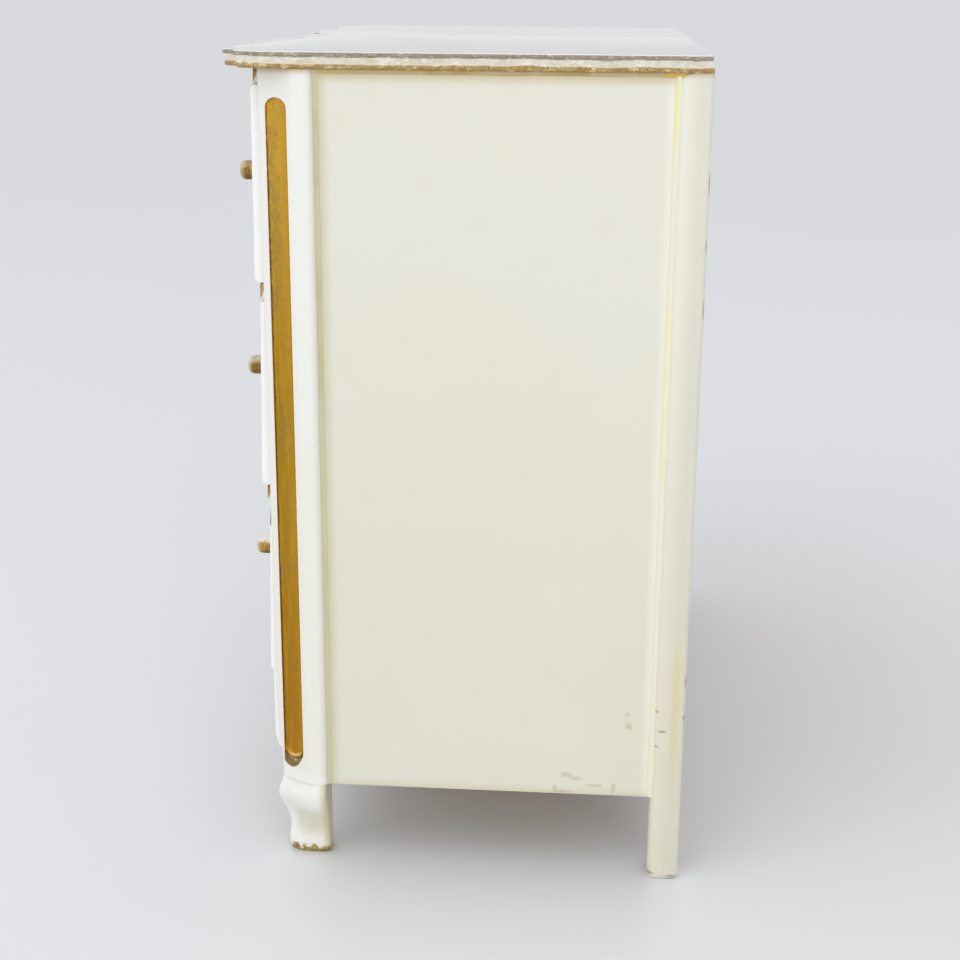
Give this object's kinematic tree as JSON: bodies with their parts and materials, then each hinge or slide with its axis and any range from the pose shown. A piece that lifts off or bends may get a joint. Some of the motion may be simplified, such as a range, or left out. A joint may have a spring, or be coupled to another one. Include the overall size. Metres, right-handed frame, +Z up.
{
  "type": "miniature chest of drawers",
  "caption": "Miniature block-front chest of drawers in white and ivory paint with a glossy top, canted pilasters with gilt strips, gilt knobs and sliding drawers.",
  "frame": {"origin": "on the floor under the middle of the box round the chest with its drawers shut", "axes": "+Z up; the drawers open towards -Y; +X is the right-hand end seen from the front"},
  "size_m": [0.096, 0.0522, 0.092],
  "materials": {
    "top_lacquer": "gloss",
    "ivory_paint": "satin",
    "white_paint": "gloss",
    "worn_gilt": "satin",
    "bare_wood": "matte"
  },
  "bodies": {
    "case": {"top_slab": "top_lacquer", "side_panel_left": "ivory_paint", "side_panel_right": "ivory_paint", "back_panel": "bare_wood", "front_pilaster_left": "white_paint", "front_pilaster_right": "white_paint", "pilaster_inlay_left": "worn_gilt", "pilaster_inlay_right": "worn_gilt", "front_foot_left": "white_paint", "front_foot_right": "white_paint", "rear_post_left": "white_paint", "rear_post_right": "white_paint", "top_rail": "white_paint", "upper_divider_rail": "white_paint", "lower_divider_rail": "white_paint", "base_rail": "white_paint", "upper_dust_board": "bare_wood", "lower_dust_board": "bare_wood", "bottom_board": "bare_wood"},
    "drawer_top": {"drawer_top_front": "white_paint", "drawer_top_side_left": "bare_wood", "drawer_top_side_right": "bare_wood", "drawer_top_back": "bare_wood", "drawer_top_bottom": "bare_wood", "knob_top_left": "worn_gilt", "knob_top_right": "worn_gilt"},
    "drawer_middle": {"drawer_middle_front": "white_paint", "drawer_middle_side_left": "bare_wood", "drawer_middle_side_right": "bare_wood", "drawer_middle_back": "bare_wood", "drawer_middle_bottom": "bare_wood", "knob_middle_left": "worn_gilt", "knob_middle_right": "worn_gilt"},
    "drawer_bottom": {"drawer_bottom_front": "white_paint", "drawer_bottom_side_left": "bare_wood", "drawer_bottom_side_right": "bare_wood", "drawer_bottom_back": "bare_wood", "drawer_bottom_bottom": "bare_wood", "knob_bottom_left": "worn_gilt", "knob_bottom_right": "worn_gilt"}
  },
  "joints": [
    {"name": "drawer_top_slide", "type": "slide", "parent": "case", "child": "drawer_top", "axis": [0, -1, 0], "range_m": [0, 0.03]},
    {"name": "drawer_middle_slide", "type": "slide", "parent": "case", "child": "drawer_middle", "axis": [0, -1, 0], "range_m": [0, 0.03]},
    {"name": "drawer_bottom_slide", "type": "slide", "parent": "case", "child": "drawer_bottom", "axis": [0, -1, 0], "range_m": [0, 0.03]}
  ]
}
